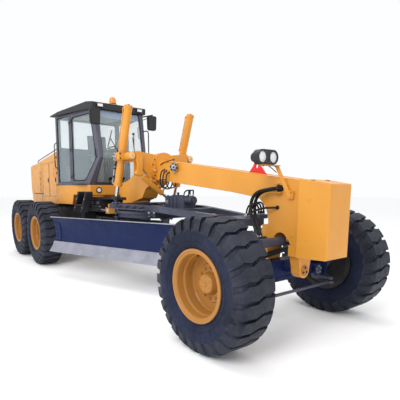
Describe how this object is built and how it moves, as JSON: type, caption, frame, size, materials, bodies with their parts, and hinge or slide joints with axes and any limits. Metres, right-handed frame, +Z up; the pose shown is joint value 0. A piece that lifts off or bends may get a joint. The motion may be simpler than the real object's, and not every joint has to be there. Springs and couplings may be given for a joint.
{
  "type": "motor grader",
  "caption": "Articulated motor grader: beam front frame with saddle, drawbar, circle and blade, leaning steered front wheels, tandem rear axle, glazed cab and rear hood.",
  "frame": {"origin": "ground under the middle of the machine's length and width", "axes": "+X forward, +Y the machine's left, +Z up"},
  "size_m": [8.9, 2.6843, 3.42],
  "materials": {
    "body_paint": "gloss",
    "dark_paint": "satin",
    "blade_paint": "satin",
    "black_metal": "satin",
    "red_paint": "gloss",
    "wear_steel": "satin",
    "chrome_rod": "polished",
    "tyre_rubber": "matte",
    "hose_rubber": "matte",
    "cab_grey": "satin",
    "window_glass": "clear",
    "seat_cover": "woven",
    "trim_plastic": "grained",
    "lamp_lens": "clear"
  },
  "bodies": {
    "rear_frame": {"rear_chassis": "black_metal", "tandem_axle": "black_metal", "engine_block": "dark_paint", "hood": "body_paint", "cab_base": "body_paint", "cab_frame": "cab_grey", "cab_roof": "body_paint", "cab_glass": "window_glass", "operator_seat": "seat_cover", "control_console": "trim_plastic", "ladders": "black_metal", "mirrors": "trim_plastic", "roof_lights": "lamp_lens"},
    "front_frame": {"front_frame": "body_paint", "front_block": "body_paint", "front_axle": "blade_paint", "work_lamps": "trim_plastic", "beam_hoses": "hose_rubber", "lifting_lug": "red_paint"},
    "lean_bar": {"lean_bar": "dark_paint"},
    "lean_cylinder_barrel": {"lean_cylinder_barrel": "black_metal"},
    "lean_cylinder_rod": {"lean_cylinder_rod": "chrome_rod"},
    "tie_rod_end": {"tie_rod_end": "black_metal"},
    "tie_rod": {"tie_rod": "dark_paint"},
    "drawbar": {"drawbar": "dark_paint"},
    "circle": {"circle": "dark_paint"},
    "blade_carriage": {"blade_carriage": "dark_paint"},
    "blade": {"moldboard": "blade_paint", "cutting_edge": "wear_steel"},
    "shift_barrel": {"shift_barrel": "body_paint"},
    "shift_rod": {"shift_rod": "chrome_rod"},
    "articulation_barrel_left": {"articulation_barrel_left": "black_metal"},
    "articulation_rod_left": {"articulation_rod_left": "chrome_rod"},
    "articulation_barrel_right": {"articulation_barrel_right": "black_metal"},
    "articulation_rod_right": {"articulation_rod_right": "chrome_rod"},
    "lift_barrel_left": {"lift_barrel_left": "body_paint"},
    "lift_rod_left": {"lift_rod_left": "chrome_rod"},
    "lift_barrel_right": {"lift_barrel_right": "body_paint"},
    "lift_rod_right": {"lift_rod_right": "chrome_rod"},
    "lean_bracket_left": {"lean_bracket_left": "blade_paint"},
    "knuckle_left": {"knuckle_left": "dark_paint"},
    "wheel_front_left": {"tyre_front_left": "tyre_rubber", "rim_front_left": "body_paint"},
    "wheel_mid_left": {"tyre_mid_left": "tyre_rubber", "rim_mid_left": "body_paint"},
    "wheel_rear_left": {"tyre_rear_left": "tyre_rubber", "rim_rear_left": "body_paint"},
    "lean_bracket_right": {"lean_bracket_right": "blade_paint"},
    "knuckle_right": {"knuckle_right": "dark_paint"},
    "wheel_front_right": {"tyre_front_right": "tyre_rubber", "rim_front_right": "body_paint"},
    "wheel_mid_right": {"tyre_mid_right": "tyre_rubber", "rim_mid_right": "body_paint"},
    "wheel_rear_right": {"tyre_rear_right": "tyre_rubber", "rim_rear_right": "body_paint"},
    "door_left": {"door_left": "cab_grey", "door_pane_left": "window_glass"},
    "door_right": {"door_right": "cab_grey", "door_pane_right": "window_glass"}
  },
  "joints": [
    {"name": "articulation", "type": "hinge", "parent": "rear_frame", "child": "front_frame", "pos_m": [0.2, 0, 1.31], "axis": [0, 0, 1], "range_deg": [-27, 27]},
    {"name": "articulation_barrel_left_swing", "type": "hinge", "parent": "rear_frame", "child": "articulation_barrel_left", "pos_m": [-0.62, 0.54, 1.23], "axis": [0, 0, 1], "range_deg": [-4.67, 4.67]},
    {"name": "articulation_rod_left_stroke", "type": "slide", "parent": "articulation_barrel_left", "child": "articulation_rod_left", "axis": [1, 0, 0], "range_m": [-0.25379, 0.25379]},
    {"name": "articulation_barrel_right_swing", "type": "hinge", "parent": "rear_frame", "child": "articulation_barrel_right", "pos_m": [-0.62, -0.54, 1.23], "axis": [0, 0, 1], "range_deg": [-4.67, 4.67]},
    {"name": "articulation_rod_right_stroke", "type": "slide", "parent": "articulation_barrel_right", "child": "articulation_rod_right", "axis": [1, 0, 0], "range_m": [-0.25379, 0.25379]},
    {"name": "drawbar_lift", "type": "hinge", "parent": "front_frame", "child": "drawbar", "pos_m": [3.54, 0, 1.1], "axis": [0, -1, 0], "range_deg": [0, 11]},
    {"name": "lift_barrel_left_swing", "type": "hinge", "parent": "front_frame", "child": "lift_barrel_left", "pos_m": [1.04484, 0.6, 2.12014], "axis": [0, -1, 0], "range_deg": [-0.5, 8]},
    {"name": "lift_rod_left_stroke", "type": "slide", "parent": "lift_barrel_left", "child": "lift_rod_left", "axis": [-0.3221, 0, -0.9467], "range_m": [-0.003, 0.51702]},
    {"name": "lift_barrel_right_swing", "type": "hinge", "parent": "front_frame", "child": "lift_barrel_right", "pos_m": [1.04484, -0.6, 2.12014], "axis": [0, -1, 0], "range_deg": [-0.5, 8]},
    {"name": "lift_rod_right_stroke", "type": "slide", "parent": "lift_barrel_right", "child": "lift_rod_right", "axis": [-0.3221, 0, -0.9467], "range_m": [-0.003, 0.51702]},
    {"name": "shift_barrel_swing", "type": "hinge", "parent": "front_frame", "child": "shift_barrel", "pos_m": [1.33, -0.47, 1.865], "axis": [1, 0, 0], "range_deg": [-20.87, 0.5]},
    {"name": "shift_rod_stroke", "type": "slide", "parent": "shift_barrel", "child": "shift_rod", "axis": [0, 0.8124, -0.5831], "range_m": [-0.003, 0.29903]},
    {"name": "circle_turn", "type": "hinge", "parent": "drawbar", "child": "circle", "pos_m": [1.1, 0, 1.2], "axis": [0, 0, 1], "continuous": true},
    {"name": "blade_pitch", "type": "hinge", "parent": "circle", "child": "blade_carriage", "pos_m": [1.27101, -0.46985, 0.72], "axis": [0.9397, 0.342, 0], "range_deg": [-10, 32]},
    {"name": "blade_side_shift", "type": "slide", "parent": "blade_carriage", "child": "blade", "axis": [-0.9397, -0.342, 0], "range_m": [-0.5, 0.4]},
    {"name": "wheel_lean_left", "type": "hinge", "parent": "front_frame", "child": "lean_bracket_left", "pos_m": [3.75, 0.6, 0.62], "axis": [1, 0, 0], "range_deg": [-17, 17]},
    {"name": "wheel_lean_right", "type": "hinge", "parent": "front_frame", "child": "lean_bracket_right", "pos_m": [3.75, -0.6, 0.62], "axis": [1, 0, 0], "range_deg": [-17, 17]},
    {"name": "lean_bar_level", "type": "hinge", "parent": "lean_bracket_left", "child": "lean_bar", "pos_m": [3.86, 0.6, 1.03], "axis": [1, 0, 0], "range_deg": [-17, 17]},
    {"name": "lean_cylinder_swing", "type": "hinge", "parent": "front_frame", "child": "lean_cylinder_barrel", "pos_m": [3.73, -0.33, 0.85], "axis": [1, 0, 0], "range_deg": [-1.16, 1.16]},
    {"name": "lean_cylinder_stroke", "type": "slide", "parent": "lean_cylinder_barrel", "child": "lean_cylinder_rod", "axis": [0, 0.9931, 0.1175], "range_m": [-0.10233, 0.10233]},
    {"name": "steering_left", "type": "hinge", "parent": "lean_bracket_left", "child": "knuckle_left", "pos_m": [3.75, 0.76, 0.67], "axis": [0, 0, 1], "range_deg": [-45, 45]},
    {"name": "wheel_front_left_spin", "type": "hinge", "parent": "knuckle_left", "child": "wheel_front_left", "pos_m": [3.75, 1.078, 0.674], "axis": [0, 1, 0], "continuous": true},
    {"name": "wheel_mid_left_spin", "type": "hinge", "parent": "rear_frame", "child": "wheel_mid_left", "pos_m": [-1.7, 1.078, 0.674], "axis": [0, 1, 0], "continuous": true},
    {"name": "wheel_rear_left_spin", "type": "hinge", "parent": "rear_frame", "child": "wheel_rear_left", "pos_m": [-3.238, 1.078, 0.674], "axis": [0, 1, 0], "continuous": true},
    {"name": "steering_right", "type": "hinge", "parent": "lean_bracket_right", "child": "knuckle_right", "pos_m": [3.75, -0.76, 0.67], "axis": [0, 0, 1], "range_deg": [-45, 45]},
    {"name": "wheel_front_right_spin", "type": "hinge", "parent": "knuckle_right", "child": "wheel_front_right", "pos_m": [3.75, -1.078, 0.674], "axis": [0, 1, 0], "continuous": true},
    {"name": "wheel_mid_right_spin", "type": "hinge", "parent": "rear_frame", "child": "wheel_mid_right", "pos_m": [-1.7, -1.078, 0.674], "axis": [0, 1, 0], "continuous": true},
    {"name": "wheel_rear_right_spin", "type": "hinge", "parent": "rear_frame", "child": "wheel_rear_right", "pos_m": [-3.238, -1.078, 0.674], "axis": [0, 1, 0], "continuous": true},
    {"name": "tie_rod_end_turn", "type": "hinge", "parent": "knuckle_left", "child": "tie_rod_end", "pos_m": [3.94, 0.76, 0.455], "axis": [0, 0, 1], "range_deg": [-45, 45]},
    {"name": "tie_rod_tilt", "type": "hinge", "parent": "tie_rod_end", "child": "tie_rod", "pos_m": [3.94, 0.76, 0.455], "axis": [1, 0, 0], "range_deg": [-17, 17]},
    {"name": "door_left_swing", "type": "hinge", "parent": "rear_frame", "child": "door_left", "pos_m": [-1.05, 0.67213, 2.42], "axis": [0, 0, 1], "range_deg": [0, 100]},
    {"name": "door_right_swing", "type": "hinge", "parent": "rear_frame", "child": "door_right", "pos_m": [-1.05, -0.67213, 2.42], "axis": [0, 0, -1], "range_deg": [0, 100]}
  ],
  "couplings": [
    {"joint": "articulation_barrel_left_swing", "follows": "articulation", "ratio": 0.15432},
    {"joint": "articulation_rod_left_stroke", "follows": "articulation", "m_per_rad": -0.5322},
    {"joint": "articulation_barrel_right_swing", "follows": "articulation", "ratio": 0.15432},
    {"joint": "articulation_rod_right_stroke", "follows": "articulation", "m_per_rad": 0.5322},
    {"joint": "lift_barrel_left_swing", "follows": "drawbar_lift", "ratio": 0.6817},
    {"joint": "lift_rod_left_stroke", "follows": "drawbar_lift", "m_per_rad": 2.6774},
    {"joint": "lift_barrel_right_swing", "follows": "drawbar_lift", "ratio": 0.6817},
    {"joint": "lift_rod_right_stroke", "follows": "drawbar_lift", "m_per_rad": 2.6774},
    {"joint": "shift_barrel_swing", "follows": "drawbar_lift", "ratio": -1.8517},
    {"joint": "shift_rod_stroke", "follows": "drawbar_lift", "m_per_rad": 1.542},
    {"joint": "wheel_lean_right", "follows": "wheel_lean_left", "ratio": 1},
    {"joint": "lean_bar_level", "follows": "wheel_lean_left", "ratio": -1},
    {"joint": "lean_cylinder_swing", "follows": "wheel_lean_left", "ratio": 0.038852},
    {"joint": "lean_cylinder_stroke", "follows": "wheel_lean_left", "m_per_rad": -0.33477},
    {"joint": "steering_right", "follows": "steering_left", "ratio": 1},
    {"joint": "tie_rod_end_turn", "follows": "steering_left", "ratio": -1},
    {"joint": "tie_rod_tilt", "follows": "wheel_lean_left", "ratio": -0.79}
  ]
}
